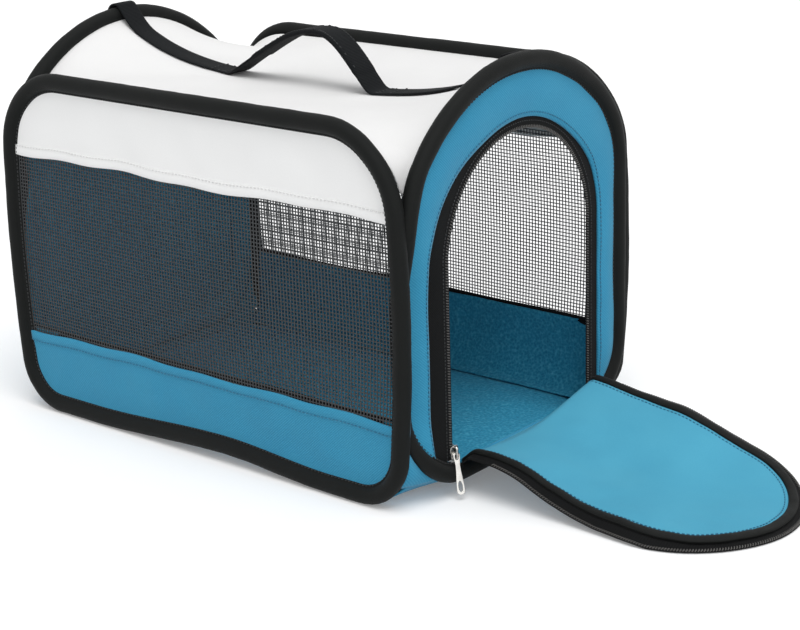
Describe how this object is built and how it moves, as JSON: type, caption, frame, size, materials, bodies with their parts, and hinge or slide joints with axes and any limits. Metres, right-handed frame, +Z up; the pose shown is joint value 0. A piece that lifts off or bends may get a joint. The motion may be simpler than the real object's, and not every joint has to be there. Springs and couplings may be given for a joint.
{
  "type": "soft pet carrier",
  "caption": "Soft fabric pet carrier on sprung wire hoops, with net side windows, a zipped arched door laid open at the front and a webbing handle on the roof.",
  "frame": {"origin": "on the ground under the middle of the cabin floor", "axes": "+Z up, door towards -Y, left side towards -X"},
  "size_m": [0.2944, 0.6731, 0.3257],
  "materials": {
    "spring_steel": "drawn spring wire",
    "ferrule_metal": "crimped tube",
    "black_sleeve": "woven polyester sleeve, matt black",
    "white_fabric": "coated woven polyester, white",
    "blue_fabric": "coated woven polyester, blue",
    "black_net": "open knitted net, black",
    "blue_plush": "short plush, dark blue",
    "black_tape": "binding tape, black",
    "zip_tape": "woven zip tape, black",
    "zip_nylon": "nylon coil, black",
    "zip_metal": "bright nickel plate",
    "webbing": "flat woven webbing, black"
  },
  "bodies": {
    "shell": {"left_side_wire": "spring_steel", "right_side_wire": "spring_steel", "front_hoop_wire": "spring_steel", "rear_hoop_wire": "spring_steel", "wire_ferrules": "ferrule_metal", "left_side_sleeve": "black_sleeve", "right_side_sleeve": "black_sleeve", "front_hoop_sleeve": "black_sleeve", "rear_hoop_sleeve": "black_sleeve", "left_top_band": "white_fabric", "left_mesh_window": "black_net", "left_bottom_band": "blue_fabric", "left_window_tape": "black_tape", "right_top_band": "white_fabric", "right_mesh_window": "black_net", "right_bottom_band": "blue_fabric", "right_window_tape": "black_tape", "front_panel": "blue_fabric", "rear_panel": "blue_fabric", "roof_panel": "white_fabric", "floor_panel": "blue_fabric", "floor_mat": "blue_plush", "opening_zip_tape": "zip_tape", "opening_zip_coil": "zip_nylon", "zip_end_stops": "zip_nylon", "rear_handle_strap": "webbing", "front_handle_strap": "webbing"},
    "door": {"door_panel": "blue_fabric", "door_binding": "black_tape", "door_zip_tape": "zip_tape", "door_zip_coil": "zip_nylon", "door_hem": "black_tape"},
    "slider": {"zip_slider": "zip_metal"},
    "pull": {"zip_pull": "zip_metal"},
    "handle": {"handle_grip": "webbing"}
  },
  "joints": [
    {"name": "door_hinge", "type": "hinge", "parent": "shell", "child": "door", "pos_m": [0, -0.213, 0.0234], "axis": [-1, 0, 0], "range_deg": [0, 95]},
    {"name": "slider_travel", "type": "slide", "parent": "shell", "child": "slider", "axis": [0, 0, 1], "range_m": [0, 0.135]},
    {"name": "pull_swing", "type": "hinge", "parent": "slider", "child": "pull", "pos_m": [-0.08802, -0.21585, 0.03154], "axis": [-1, 0, 0], "range_deg": [0, 105]},
    {"name": "handle_tilt", "type": "hinge", "parent": "shell", "child": "handle", "pos_m": [0, 0, 0.2794], "axis": [0, 1, 0], "range_deg": [-45, 45]}
  ]
}
